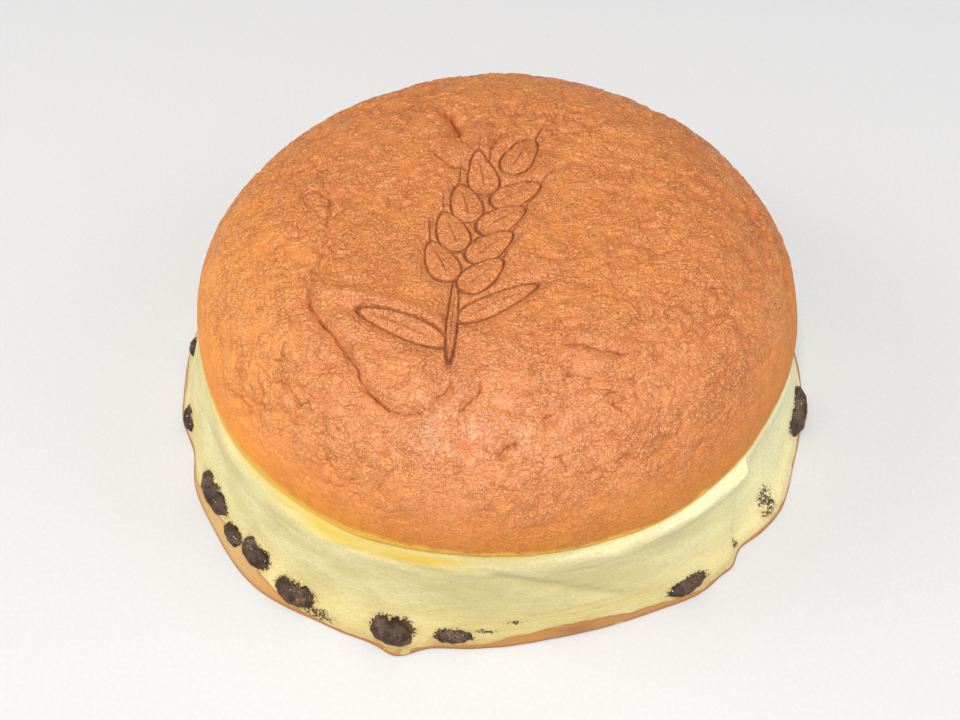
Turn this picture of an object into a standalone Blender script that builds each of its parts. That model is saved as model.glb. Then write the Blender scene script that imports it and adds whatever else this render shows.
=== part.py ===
"""Jiggly cheesecake: a whole souffle cheesecake, 18 cm across, with raisins at its foot.

The cake is one solid. It is turned from a profile that runs up the flared foot and the pale wall,
round the lip of the browned crust and over the domed top, and is then made as uneven as a baked
cake: a wavy foot, a leaning crown, a roll under the lip, a dimple and a wheat ear pressed into the
crust. Each raisin is a solid of its own in a pocket of the wall.

Metres, +Z up. The origin is the middle of the flat underside, and azimuths run from +X towards +Y.
"""

import math
import random

import bmesh
import bpy
from mathutils import Euler, Matrix, Vector, noise

MM = 0.001

# The turned shape
CROWN_HEIGHT = 67.0 * MM
LIP_HEIGHT = 29.0 * MM
LIP_RADIUS = 82.7 * MM
WALL_RADIUS = 88.6 * MM
FOOT_RADIUS = 90.7 * MM
FOOT_FADE = 5.6 * MM  # how high the foot's flare reaches
SKIRT_FADE = 3.0 * MM  # the same where the foot is a thin skirt
SKIRT_SIDES = ((213, 17), (178, 10), (340, 9))  # where it is one: azimuth and half width in degrees
FLARE_POWER = 1.5
UNDERSIDE_ROUNDING = 0.4 * MM
SHOULDER_POWER = 3.85
CROWN_POWER = 2.25
CROWN_LEAN = Vector((2.4 * MM, 1.0 * MM))
SEGMENTS = 84
DOME_RINGS = 15
DOME_RING_BIAS = 1.5
WALL_HEIGHTS = (0.4, 1.7, 3.4, 5.6, 8.8, 13.4, 18.6, 23.2, 27.2)  # millimetres
FOLD_AZIMUTH = 254  # the foot has a fold here, so a column of points runs along it

# Unevenness: each entry is azimuth in degrees, how far it stands out in mm, half width in degrees
FOOT_SWELLS = (
    (327, 2.2, 7), (316.5, -0.9, 3), (313, 1.3, 2.5), (306, 2.0, 6), (281, -1.7, 13),
    (FOLD_AZIMUTH, 3.7, 3.5), (247, 1.9, 7), (228, 3.7, 13),
    (195, -3.0, 6), (181, -1.1, 8), (150, 1.6, 10), (127, -1.7, 8), (107, 1.5, 11), (83, -1.3, 7),
    (61, 1.9, 10), (40, -1.4, 7), (18, 0.8, 8),
)
LIP_SWELLS = (
    (6, 0.9, 9), (350, 0.5, 7), (329, -0.5, 7), (299, 0.6, 8), (261, -0.6, 10), (243, 0.4, 6),
    (198, -0.6, 12), (167, 0.8, 15), (115, -0.6, 9), (90, 0.6, 10), (62, -0.5, 9), (35, 0.4, 12),
)
WALL_SWELLS = (
    (334, -0.7, 7), (306, 0.6, 12), (276, -0.7, 10), (236, 0.9, 16), (199, -0.7, 8), (160, 0.6, 11),
    (118, -0.6, 10), (74, 0.6, 14), (28, -0.5, 12),
)
LIP_OVERHANG = 0.35 * MM
LIP_OVERHANG_MORE = 0.75 * MM
LIP_OVERHANG_SIDE = (318, 62)  # the side where the lip stands out most, and its half width
ROLL_HEIGHT = 23.5 * MM
ROLL_THICKNESS = 3.6 * MM
ROLL_PROUD = 0.9 * MM
ROLL_SIDES = ((312, 30), (226, 26), (95, 34))

# The domed top
DIMPLE_PLACE = Vector((-5.0 * MM, 39.0 * MM))
DIMPLE_DEPTH = 2.2 * MM
DIMPLE_RADIUS = 9.0 * MM
UNDULATION = 0.8 * MM
UNDULATION_SPACING = 26.0 * MM

# The wheat ear pressed into the crust
EAR_FOOT = Vector((-9.0 * MM, -44.0 * MM))
EAR_TIP = Vector((13.0 * MM, 26.0 * MM))
EAR_BOW = 6.0 * MM
EAR_KERNEL_PAIRS = 4
EAR_KERNEL_START = 0.38  # share of the ear's length that is bare stem
EAR_KERNEL_SIZE = Vector((8.6 * MM, 4.6 * MM, 3.0 * MM))  # half length, half width, half height
EAR_KERNEL_SPREAD = 6.4 * MM
EAR_KERNEL_ANGLE = math.radians(34)
EAR_DEPTH = 0.9 * MM
EAR_STEM_RADIUS = 2.0 * MM
EAR_LEAVES = ((0.16, -58, 24.0), (0.06, 62, 26.0))  # place on the stem, angle in degrees, length mm
EAR_LEAF_HALF_WIDTH = 4.2 * MM

# Raisins that show: azimuth, height, length, thickness, tilt in degrees, how far they stand out
RAISINS = (
    (189.5, 4.6, 8.5, 5.0, -5, 1.3),
    (209, 4.9, 16.0, 6.2, -16, 2.2),
    (217.8, 3.2, 8.4, 4.4, -12, 1.4),
    (224.3, 4.4, 11.4, 6.2, -14, 1.7),
    (234.2, 3.7, 11.7, 5.6, -6, 2.6),
    (252.6, 4.3, 11.5, 6.6, -16, 3.2),
    (262.6, 2.9, 10.5, 4.2, 6, 1.1),
    (303.7, 3.2, 12.0, 4.4, 2, 1.1),
    (325.4, 3.0, 5.8, 4.2, 14, 0.5),
    (347.5, 4.3, 16.0, 6.2, 14, 2.8),
)
# Raisins round the far side, placed by a loop between the two azimuths
FAR_RAISINS = 8
FAR_RAISIN_FROM = 14
FAR_RAISIN_TO = 174
FAR_RAISIN_SEED = 11
RAISIN_DEPTH_SHARE = 0.72  # its size into the cake, as a share of the mean of its other two
RAISIN_SEGMENTS = 10
RAISIN_RINGS = 7
RAISIN_WRINKLE = 0.10
RAISIN_CLEARANCE = 0.35 * MM
LOWEST_RAISIN = 0.5 * MM


def swelling(azimuth, swells):
    """The sum of the swells at this azimuth, in metres."""
    total = 0.0
    for centre, height, half_width in swells:
        total += height * MM * bump(azimuth, centre, half_width)
    return total


def bump(azimuth, centre, half_width):
    """A bell curve round the cake: 1 at the centre, and faded out at twice the half width."""
    apart = (azimuth - centre + 180) % 360 - 180
    return math.exp(-((apart / half_width) ** 2))


def lean(azimuth):
    """How much further from the origin the leaning crown stands at this azimuth."""
    angle = math.radians(azimuth)
    return CROWN_LEAN.x * math.cos(angle) + CROWN_LEAN.y * math.sin(angle)


def lip_radius(azimuth):
    return LIP_RADIUS + lean(azimuth) + swelling(azimuth, LIP_SWELLS)


def overhang(azimuth):
    """How far the crust's lip stands out from the wall under it."""
    return LIP_OVERHANG + LIP_OVERHANG_MORE * bump(azimuth, *LIP_OVERHANG_SIDE)


def side_radius(azimuth, height):
    """Distance of the wall from the axis: a cone with a soft roll under the lip and a flared foot."""
    share = height / LIP_HEIGHT
    top = lip_radius(azimuth) - overhang(azimuth)
    middle = math.sin(math.pi * share)
    wall = WALL_RADIUS + (top - WALL_RADIUS) * share + swelling(azimuth, WALL_SWELLS) * middle
    roll = sum(bump(azimuth, *side) for side in ROLL_SIDES)
    wall += ROLL_PROUD * roll * math.exp(-(((height - ROLL_HEIGHT) / ROLL_THICKNESS) ** 2))
    flare = FOOT_RADIUS + swelling(azimuth, FOOT_SWELLS) - WALL_RADIUS
    return wall + flare * math.exp(-((height / flare_height(azimuth)) ** FLARE_POWER))


def flare_height(azimuth):
    """How high the foot's flare reaches: low where it is a thin skirt round the raisins."""
    skirt = min(1.0, sum(bump(azimuth, *side) for side in SKIRT_SIDES))
    return FOOT_FADE + (SKIRT_FADE - FOOT_FADE) * skirt


def dome_height(share):
    """Height of the smooth dome at this share of the lip's radius."""
    rise = (1 - min(share, 1.0) ** SHOULDER_POWER) ** (1 / CROWN_POWER)
    return LIP_HEIGHT + (CROWN_HEIGHT - LIP_HEIGHT) * rise


def crust_relief(place):
    """Broad unevenness of the top at a point seen from above, faded out towards the lip."""
    spot = place / UNDULATION_SPACING
    waves = noise.noise(Vector((spot.x, spot.y, 0.4))) * UNDULATION
    dimple = DIMPLE_DEPTH * math.exp(-(((place - DIMPLE_PLACE).length / DIMPLE_RADIUS) ** 2))
    fade = max(0.0, 1 - (place.length / LIP_RADIUS) ** 4)
    return (waves - dimple) * fade


def crust_height(place):
    """Height of the crust at a point seen from above."""
    away = place - CROWN_LEAN
    return dome_height(away.length / LIP_RADIUS) + crust_relief(place)


def clear_scene():
    for thing in list(bpy.data.objects):
        bpy.data.objects.remove(thing, do_unlink=True)


def new_collection(name):
    group = bpy.data.collections.new(name)
    bpy.context.scene.collection.children.link(group)
    return group


def new_material(name, colour, roughness):
    material = bpy.data.materials.new(name)
    material.use_nodes = True
    shader = material.node_tree.nodes["Principled BSDF"]
    shader.inputs["Base Color"].default_value = (*colour, 1.0)
    shader.inputs["Roughness"].default_value = roughness
    shader.inputs["Metallic"].default_value = 0.0
    return material


def new_object(name, shape, group, material=None):
    """An object made from a bmesh, which is freed."""
    shape.normal_update()
    bmesh.ops.recalc_face_normals(shape, faces=shape.faces)
    mesh = bpy.data.meshes.new(name)
    shape.to_mesh(mesh)
    shape.free()
    mesh.shade_smooth()
    if material:
        mesh.materials.append(material)
    thing = bpy.data.objects.new(name, mesh)
    group.objects.link(thing)
    return thing


def make_cutter(name, shape, group):
    cutter = new_object(name, shape, group)
    cutter.hide_render = True
    cutter.display_type = "WIRE"
    return cutter


def cake_profile():
    """The turned outline from the underside's rim to the crown, as distance and height."""
    foot = side_radius_plain(0.0)
    points = [(foot - UNDERSIDE_ROUNDING, 0.0)]
    for height in WALL_HEIGHTS:
        points.append((side_radius_plain(height * MM), height * MM))
    for ring in range(DOME_RINGS):
        angle = math.pi / 2 * (1 - (1 - ring / DOME_RINGS) ** DOME_RING_BIAS)
        share = math.cos(angle) ** (2 / SHOULDER_POWER)
        points.append((LIP_RADIUS * share, dome_height(share)))
    points.append((0.0, CROWN_HEIGHT))
    return points


def side_radius_plain(height):
    """The wall's radius before it is made uneven."""
    share = height / LIP_HEIGHT
    flare = (FOOT_RADIUS - WALL_RADIUS) * math.exp(-((height / FOOT_FADE) ** FLARE_POWER))
    return WALL_RADIUS + (LIP_RADIUS - WALL_RADIUS) * share + flare


def turn_profile(points):
    """A closed turned body: the profile spun a full turn, with one flat face underneath."""
    shape = bmesh.new()
    start = math.radians(FOLD_AZIMUTH)
    corners = [
        shape.verts.new((radius * math.cos(start), radius * math.sin(start), height))
        for radius, height in points
    ]
    edges = [shape.edges.new(pair) for pair in zip(corners, corners[1:])]
    bmesh.ops.spin(
        shape, geom=corners + edges, axis=(0, 0, 1), cent=(0, 0, 0),
        angle=math.tau, steps=SEGMENTS, use_merge=True,
    )
    bmesh.ops.remove_doubles(shape, verts=shape.verts, dist=0.001 * MM)
    rim = [edge for edge in shape.edges if edge.is_boundary]
    bmesh.ops.contextual_create(shape, geom=rim)
    return shape


def make_uneven(shape):
    """Moves each point of the turned body out or in, and the top up or down."""
    for corner in shape.verts:
        away = Vector((corner.co.x, corner.co.y))
        height = corner.co.z
        azimuth = math.degrees(math.atan2(away.y, away.x))
        if height < LIP_HEIGHT - 0.01 * MM:
            move = side_radius(azimuth, height) - side_radius_plain(height)
            away = away.normalized() * (away.length + move)
        else:
            share = away.length / LIP_RADIUS
            own = LIP_RADIUS + swelling(azimuth, LIP_SWELLS)
            away = away * (own / LIP_RADIUS) + CROWN_LEAN
            height = dome_height(share) + crust_relief(away)
        corner.co = (away.x, away.y, height)


def make_cake(group, material):
    shape = turn_profile(cake_profile())
    make_uneven(shape)
    return new_object("cake", shape, group, material)


def ear_point(share):
    """A point on the ear's bowed middle line, and the line's direction there."""
    along = EAR_TIP - EAR_FOOT
    side = Vector((-along.y, along.x)).normalized()
    point = EAR_FOOT + along * share + side * EAR_BOW * 4 * share * (1 - share)
    direction = along + side * EAR_BOW * 4 * (1 - 2 * share)
    return point, direction.normalized()


def make_press(name, place, half_sizes, direction, group):
    """A flattened ball that dips its lower face into the crust by the ear's depth."""
    shape = bmesh.new()
    bmesh.ops.create_uvsphere(shape, u_segments=10, v_segments=6, radius=1.0)
    turn = Matrix.Rotation(math.atan2(direction.y, direction.x), 4, "Z")
    centre = Vector((*place, crust_height(place) + half_sizes.z - EAR_DEPTH))
    size = Matrix.Diagonal((*half_sizes, 1.0))
    shape.transform(Matrix.Translation(centre) @ turn @ size)
    return make_cutter(name, shape, group)


def make_ear(group):
    """The presses of the wheat ear: kernels in pairs with one at the tip, a stem and two leaves."""
    for pair in range(EAR_KERNEL_PAIRS):
        share = EAR_KERNEL_START + (0.93 - EAR_KERNEL_START) * pair / EAR_KERNEL_PAIRS
        for side in (-1, 1):
            middle, along = ear_point(share + 0.035 * (side + 1) / 2)
            across = Vector((-along.y, along.x)) * side
            direction = along * math.cos(EAR_KERNEL_ANGLE) + across * math.sin(EAR_KERNEL_ANGLE)
            place = middle + across * EAR_KERNEL_SPREAD
            make_press(f"press_kernel_{2 * pair + (side + 1) // 2}", place, EAR_KERNEL_SIZE, direction, group)
    tip, along = ear_point(0.97)
    make_press("press_tip", tip, EAR_KERNEL_SIZE, along, group)
    stem_middle, along = ear_point(EAR_KERNEL_START / 2)
    stem_half = (EAR_TIP - EAR_FOOT).length * EAR_KERNEL_START / 2
    make_press("press_stem", stem_middle, Vector((stem_half, EAR_STEM_RADIUS, 3 * MM)), along, group)
    for number, (share, angle, length) in enumerate(EAR_LEAVES):
        foot, along = ear_point(share)
        direction = Matrix.Rotation(math.radians(angle), 2) @ along
        start = foot + direction * (EAR_STEM_RADIUS + 0.6 * MM)
        half = length * MM / 2
        size = Vector((half, EAR_LEAF_HALF_WIDTH, 3 * MM))
        make_press(f"press_leaf_{number}", start + direction * half, size, direction, group)


def raisin_places():
    """All raisins: those listed, and the ones placed round the far side."""
    places = list(RAISINS)
    chance = random.Random(FAR_RAISIN_SEED)
    step = (FAR_RAISIN_TO - FAR_RAISIN_FROM) / (FAR_RAISINS - 1)
    for number in range(FAR_RAISINS):
        azimuth = FAR_RAISIN_FROM + step * number + chance.uniform(-5, 5)
        length = chance.uniform(7.5, 12.5)
        thickness = length * chance.uniform(0.52, 0.7)
        height = chance.uniform(3.6, 8.0)
        places.append((azimuth, height, length, thickness, chance.uniform(-18, 18), chance.uniform(0.6, 2.0)))
    return places


def raisin_shape(number, place, grow=0.0):
    """A wrinkled raisin lying in the wall with its length round the cake, grown on all sides by grow."""
    azimuth, height, length, thickness, tilt, proud = place
    depth = RAISIN_DEPTH_SHARE * (length + thickness) / 2
    half = Vector((depth, length, thickness)) * (MM / 2)
    half_height = math.hypot(half.y * math.sin(math.radians(tilt)), half.z * math.cos(math.radians(tilt)))
    height = max(height * MM, half_height + LOWEST_RAISIN + RAISIN_CLEARANCE)
    distance = side_radius(azimuth, height) + proud * MM - half.x
    shape = bmesh.new()
    bmesh.ops.create_uvsphere(shape, u_segments=RAISIN_SEGMENTS, v_segments=RAISIN_RINGS, radius=1.0)
    for corner in shape.verts:
        unit = corner.co.normalized()
        crease = noise.noise(unit * 1.7 + Vector((number * 3.1, 0.0, 0.0)))
        corner.co = Vector([unit[axis] * half[axis] * (1 + RAISIN_WRINKLE * crease) for axis in range(3)])
        corner.co += unit * grow
    turn = Euler((math.radians(tilt), 0.0, 0.0)).to_matrix().to_4x4()
    where = Matrix.Rotation(math.radians(azimuth), 4, "Z") @ Matrix.Translation((distance, 0, height))
    shape.transform(where @ turn)
    return shape


def make_raisins(group, cutters, material):
    for number, place in enumerate(raisin_places(), start=1):
        new_object(f"raisin_{number:02d}", raisin_shape(number, place), group, material)
        make_cutter(f"pocket_{number:02d}", raisin_shape(number, place, RAISIN_CLEARANCE), cutters)


def cut_with(thing, cutters):
    cut = thing.modifiers.new("pockets and pressed ear", "BOOLEAN")
    cut.operation = "DIFFERENCE"
    cut.operand_type = "COLLECTION"
    cut.collection = cutters
    cut.solver = "EXACT"


def main():
    clear_scene()
    parts = new_collection("jiggly_cheesecake")
    cutters = new_collection("cutters")
    cutters.hide_render = True
    cake_material = new_material("baked cake", (0.78, 0.42, 0.16), 0.6)
    raisin_material = new_material("raisin skin", (0.035, 0.022, 0.02), 0.45)
    cake = make_cake(parts, cake_material)
    make_raisins(parts, cutters, raisin_material)
    make_ear(cutters)
    cut_with(cake, cutters)


main()
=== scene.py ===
"""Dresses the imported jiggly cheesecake: crust, side, foot skin, raisins and crumbs, on a pale table.

The file is laid out as a Blender add-on and run as a script. Each operator makes one piece, or one
group of like pieces, around the CAD frame. Metres, +Z up, azimuths from +X towards +Y. Lengths in
the lists are millimetres, as a baker would measure them, and MM turns them into metres.
"""

import math
import random

import bmesh
import bpy
import numpy as np
from bpy.props import FloatProperty, FloatVectorProperty, IntProperty, PointerProperty
from mathutils import Matrix, Vector, noise


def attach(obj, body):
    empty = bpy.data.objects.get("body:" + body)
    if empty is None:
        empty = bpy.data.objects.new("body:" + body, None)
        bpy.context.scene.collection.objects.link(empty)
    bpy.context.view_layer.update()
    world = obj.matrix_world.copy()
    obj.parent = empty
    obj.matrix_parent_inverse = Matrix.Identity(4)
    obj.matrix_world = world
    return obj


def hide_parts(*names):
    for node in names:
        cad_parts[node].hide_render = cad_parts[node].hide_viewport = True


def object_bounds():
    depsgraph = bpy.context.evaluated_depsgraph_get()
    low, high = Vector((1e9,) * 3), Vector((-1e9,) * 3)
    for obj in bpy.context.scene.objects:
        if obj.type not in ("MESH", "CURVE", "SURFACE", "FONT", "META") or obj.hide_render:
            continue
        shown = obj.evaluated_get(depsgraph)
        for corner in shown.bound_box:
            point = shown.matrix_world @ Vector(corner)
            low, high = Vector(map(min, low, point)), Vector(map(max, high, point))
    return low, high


bl_info = {
    "name": "Jiggly cheesecake",
    "version": (1, 0, 0),
    "blender": (4, 5, 0),
    "location": "3D View > Sidebar > Cheesecake",
    "description": "Makes the crust, side, foot skin, raisins, crumbs and table of a cheesecake",
    "category": "Add Mesh",
}

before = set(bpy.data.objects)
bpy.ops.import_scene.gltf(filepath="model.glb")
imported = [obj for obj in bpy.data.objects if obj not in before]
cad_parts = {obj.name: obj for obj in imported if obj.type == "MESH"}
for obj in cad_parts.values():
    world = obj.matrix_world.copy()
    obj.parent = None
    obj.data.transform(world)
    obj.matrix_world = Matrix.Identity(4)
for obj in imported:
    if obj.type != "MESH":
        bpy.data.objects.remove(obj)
CAD_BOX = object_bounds()
RAISIN_NODES = sorted(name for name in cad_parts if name.startswith("raisin"))
MM = 0.001

# Unevenness of the turned shape: azimuth in degrees, how far it stands out in mm, half width in degrees
FOOT_SWELLS = (
    (327, 2.2, 7), (316.5, -0.9, 3), (313, 1.3, 2.5), (306, 2.0, 6), (281, -1.7, 13),
    (254, 3.7, 3.5), (247, 1.9, 7), (228, 3.7, 13), (195, -3.0, 6), (181, -1.1, 8), (150, 1.6, 10),
    (127, -1.7, 8), (107, 1.5, 11), (83, -1.3, 7), (61, 1.9, 10), (40, -1.4, 7), (18, 0.8, 8),
)
LIP_SWELLS = (
    (6, 0.9, 9), (350, 0.5, 7), (329, -0.5, 7), (299, 0.6, 8), (261, -0.6, 10), (243, 0.4, 6),
    (198, -0.6, 12), (167, 0.8, 15), (115, -0.6, 9), (90, 0.6, 10), (62, -0.5, 9), (35, 0.4, 12),
)
WALL_SWELLS = (
    (334, -0.7, 7), (306, 0.6, 12), (276, -0.7, 10), (236, 0.9, 16), (199, -0.7, 8), (160, 0.6, 11),
    (118, -0.6, 10), (74, 0.6, 14), (28, -0.5, 12),
)
# Sides of the cake: azimuth and half width in degrees
OVERHANG_SIDE = (318, 62)
ROLL_SIDES = ((312, 30), (226, 26), (95, 34))
PROUD_SIDES = ((308, 30), (95, 34))
SKIRT_SIDES = ((213, 17), (178, 10), (340, 9))
DIMPLE_PLACE = (-5.0, 39.0)  # seen from above, in mm
# Raisins just under the side's surface: azimuth, height in mm, half width in degrees, half height in mm
TORN_PLACES = (
    (239.5, 2.0, 3.2, 1.3), (268, 4.6, 2.0, 0.7), (273, 6.4, 1.6, 0.6), (326, 6.0, 2.4, 2.6),
    (316, 2.6, 0.8, 1.4),
)
# Egg-yellow bands of the side: azimuth, half width in degrees, then height and half height as shares of
# the lip's height, and strength
YOLK_BANDS = ((240, 9, 0.89, 0.06, 0.8), (257, 8, 0.88, 0.05, 1.0), (208, 40, 1.0, 0.07, 0.55))

# How high the brown foot skin climbs the side: azimuth, height in mm, half width in degrees
SKIN_TOP_SWELLS = (
    (283, 3.3, 15), (220, 3.1, 13), (206, 0.8, 6), (254, 1.0, 4), (327, 0.4, 8), (300, 0.3, 5),
    (181, 1.2, 9), (145, 1.6, 12), (110, 0.7, 9), (76, 2.0, 14), (38, 1.4, 12), (8, 0.8, 9),
)

# Creases of the crust as places seen from above in mm, each line with its depth in mm
CRUST_CREASES = (
    (
        ((-45, -14), (-46, -20), (-45, -26), (-41, -33), (-37, -39), (-33, -46), (-30, -53), (-24, -59),
         (-16, -62)),
        1.15,
    ),
    (((-11, 49), (-8, 43), (-6, 37), (-6, 32)), 1.9),
    (((-6, 33), (-4, 29), (-2, 25)), 0.6),
    (((7, 38), (4, 30), (2, 25), (1, 21)), 0.9),
    (((-14, 28), (-11, 24), (-8, 21), (-3, 20)), 0.9),
    (((-22, 50), (-20, 44), (-22, 40)), 0.6),
    (((4, 44), (13, 44), (24, 42)), 0.5),
    (((20, 33), (27, 34), (36, 33)), 0.5),
    (((2, -74), (12, -72)), 0.3),
    (((26, 39), (30, 37), (34, 40)), 0.8),
    (((30, 37), (30, 31)), 0.7),
    (((-45, 24), (-42, 15), (-41, 5), (-41, -3)), 0.7),
    (((-41, -5), (-43, -13), (-45, -19)), 0.6),
    (((-55, -1), (-55, -6), (-54, -10)), 0.5),
    (((-51, -25), (-50, -31)), 0.5),
    (((-51, -34), (-53, -39), (-55, -38)), 0.6),
    (((-54, -44), (-50, -46), (-47, -52), (-43, -51)), 0.6),
    (((-41, -64), (-37, -66)), 0.5),
    (((-10, -52), (-11, -56), (-13, -57)), 0.7),
    (((-2, -52), (-3, -57), (-7, -61), (-8, -60)), 0.8),
    (((12, -63), (14, -61), (18, -60)), 0.6),
    (((18, -51), (26, -53)), 0.6),
    (((2, -72), (3, -69), (6, -67)), 0.7),
    (((16, -70), (18, -73)), 0.5),
    (((17, -44), (23, -43), (28, -45), (35, -46)), 0.9),
    (((44, -32), (48, -35)), 0.5),
    (((55, -23), (60, -23)), 0.6),
    (((35, -27), (39, -29)), 0.5),
    (((29, -58), (33, -60)), 0.5),
    (((19, 44), (21, 38)), 0.5),
    (((-21, -60), (-15, -61)), 0.6),
)
# The same for soft ridges, which stand up, with half width in mm
CRUST_RIDGES = (
    (((-44, -19), (-33, -26), (-22, -31), (-12, -35)), 1.5, 2.8),
    (((-11, 32), (-8, 28), (-4, 25)), 2.2, 4.0),
    (((-1, 36), (0, 30), (0, 27)), 2.2, 3.6),
    (((11, 38), (9, 31), (13, 25)), 0.9, 3.0),
    (((-15, 49), (-14, 43), (-13, 38)), 1.2, 2.6),
    (((31, 33), (37, 36)), 1.2, 2.4),
    (((25, 37), (27, 35)), 1.0, 2.0),
    (((-31, -44), (-26, -53), (-19, -57)), 1.3, 3.0),
    (((-41, -22), (-39, -29), (-34, -36)), 0.8, 3.4),
    (((-17, -52), (-15, -57)), 1.5, 2.8),
    (((-7, -52), (-8, -57)), 1.5, 2.8),
    (((20, -46), (28, -48)), 1.0, 2.6),
)
# Smooth orange dents: both ends of each, and its half width in mm
CRUST_DENTS = (
    ((-9.0, -67.5), (-6.5, -69.0), 1.0), ((-9, -73.5), (-7, -74.5), 0.6), ((-27, -67.0), (-25, -67.6), 0.7),
    ((3, -71.0), (4, -69.0), 0.6), ((-38, 5), (-38, 4), 0.7), ((46, 12), (47, 11), 0.6),
)
INSET = 0.4 * MM  # side and foot skin lie this far inside the CAD model's, to leave their relief room
CREASE_CORE = 0.38  # half width in mm of the dark line in a crease
CREASE_VALLEY = 1.9  # half width in mm of the soft valley round it
CREASE_LIP, CREASE_LIP_WIDTH = 2.8, 1.3  # where its raised lips stand, and their half width, in mm


# ---------------------------------------------------------------- sizes and colours


def number(name, description, default, **options):
    return FloatProperty(name=name, description=description, default=default, **options)


def length(name, description, default):
    """A length, given in millimetres and kept in metres."""
    return number(name, description, default * MM, unit="LENGTH", precision=5)


def colour(name, description, *default):
    """A colour, given as the 0 to 255 numbers of a colour picker and kept as light."""
    shares = [part / 255 for part in default]
    light = [((share + 0.055) / 1.055) ** 2.4 if share > 0.04045 else share / 12.92 for share in shares]
    return FloatVectorProperty(
        name=name, description=description, default=light, subtype="COLOR", size=3, min=0, max=1
    )


class CheesecakeShape(bpy.types.PropertyGroup):
    """Sizes of the cake, the same as the CAD model's."""

    crown_height: length("Crown height", "Height of the top above the table", 67)
    lip_height: length("Lip height", "Height of the crust's edge", 29)
    lip_radius: length("Lip radius", "Radius of the crust's edge", 82.7)
    wall_radius: length("Wall radius", "Radius of the side above the foot", 88.6)
    foot_radius: length("Foot radius", "Radius of the foot", 90.7)
    foot_fade: length("Foot fade", "How high the foot's flare reaches", 5.6)
    skirt_fade: length("Skirt fade", "The same where the foot is a thin skirt", 3.0)
    flare_power: number("Flare power", "How sharply the foot flares", 1.5)
    lean_x: length("Lean X", "How far the crown stands off the foot along X", 2.4)
    lean_y: length("Lean Y", "How far the crown stands off the foot along Y", 1.0)
    shoulder_power: number("Shoulder power", "Squareness of the shoulder", 3.85)
    crown_power: number("Crown power", "Flatness of the crown", 2.25)
    overhang: length("Overhang", "How far the lip stands out from the side", 0.35)
    overhang_more: length("Overhang, front right", "The overhang that one side has on top", 0.75)
    roll_height: length("Roll height", "Height of the soft roll under the lip", 23.5)
    roll_thickness: length("Roll thickness", "Half height of that roll", 3.6)
    roll_proud: length("Roll proud", "How far that roll stands out", 0.9)
    dimple_depth: length("Dimple depth", "Depth of the dimple behind the ear", 2.2)
    dimple_radius: length("Dimple radius", "Half width of the dimple", 9)
    undulation: length("Undulation", "Height of the top's broad waves", 0.8)
    undulation_spacing: length("Undulation spacing", "Distance between the broad waves", 26)


class CheesecakeCrust(bpy.types.PropertyGroup):
    """Relief and colours of the browned crust."""

    cells: IntProperty(name="Cells", description="Faces along each side of the crust's grid", default=250)
    crumple: length("Crumple", "Depth of the folds, all together", 1.35)
    ear_depth: length("Ear depth", "Depth of the pressed outlines", 2.5)
    ear_line: length("Ear line", "Half width of the pressed outlines", 0.32)
    brown: colour("Brown", "The crown", 212, 124, 48)
    # Valley is the smooth, more saturated skin of hollows and seams; in hollows it also darkens them as
    # painted shade
    valley: colour("Valley", "Smooth hollows and seams", 176, 84, 18)
    toasted: colour("Toasted", "Pits and thin lines of the grain", 136, 60, 16)
    # Cracks, creases and pressed outlines are browned darker, and this colour also paints the shade that
    # falls in them
    crack: colour("Crack", "Cracks, creases and pressed outlines", 104, 44, 12)
    # Painted glints: pale tips of the grain that stand in for the sparkle of light on it
    painted_glint: colour("Fleck", "Pale tips of the grain", 250, 186, 122)
    rosy: colour("Rosy", "The pressed middle", 206, 118, 56)
    # Painted sheen: a paler tint on the front of the crown, where the light glances off it
    painted_sheen: colour("Peach", "The lighter front of the crown", 240, 152, 104)
    amber: colour("Amber", "The paler left shoulder", 244, 150, 8)
    rim: colour("Rim", "The band above the lip", 208, 122, 6)
    gold: colour("Gold", "Where the crust meets the side", 232, 178, 54)


class CheesecakeSide(bpy.types.PropertyGroup):
    """Colours of the pale side and of the brown skin under it."""

    pale: colour("Pale", "The side's set crumb", 214, 202, 146)
    cream: colour("Cream", "Rolls and smooth places", 230, 220, 166)
    yolk: colour("Yolk", "The egg-yellow band under the lip", 226, 190, 70)
    # Also the painted shade in the side's crease, fold and fine lines and on its front
    pore_and_shade: colour("Pore", "Pores and hollows", 176, 162, 108)
    tan: colour("Tan", "The foot's brown skin", 176, 130, 72)
    toast: colour("Toast", "The outer edge of that skin", 150, 88, 36)
    # Painted light: the whiter, cooler right of the side, and the highlight on the roll under the lip
    cool: colour("Cool", "The whiter right of the side", 246, 248, 208)
    speck: colour("Speck", "Shreds of raisin skin in the crumb", 66, 50, 36)
    thin: colour("Thin", "The foot's skin where it is a thin skirt", 190, 156, 98)
    under: colour("Underside", "The flat underside", 184, 124, 62)


class CheesecakeRaisin(bpy.types.PropertyGroup):
    """Colours of the raisins."""

    dark: colour("Dark", "The raisins' skin", 46, 32, 24)
    plum: colour("Plum", "Thin and worn places", 88, 64, 50)
    bloom: colour("Bloom", "Dusty bloom and crumb on the skin", 168, 146, 112)


class CheesecakeStage(bpy.types.PropertyGroup):
    """Table, light and camera."""

    table: colour("Table", "The pale table", 201, 201, 202)
    sky: number("Sky", "Strength of the even light", 0.72)
    key: number("Key", "Power of the light above the viewer, in watts", 11.2)
    fill: number("Fill", "Power of the light at the left, in watts", 4.0)
    side_fill: number("Side fill", "Power of the light at the right", 2.8)
    lens: number("Lens", "Focal length of the camera", 60, unit="CAMERA")


# ---------------------------------------------------------------- the cake's form


def bump(azimuth, centre, half_width):
    """A bell curve round the cake: 1 at the centre, faded out at twice the half width."""
    apart = (azimuth - centre + 180) % 360 - 180
    return np.exp(-((apart / half_width) ** 2))


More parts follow.
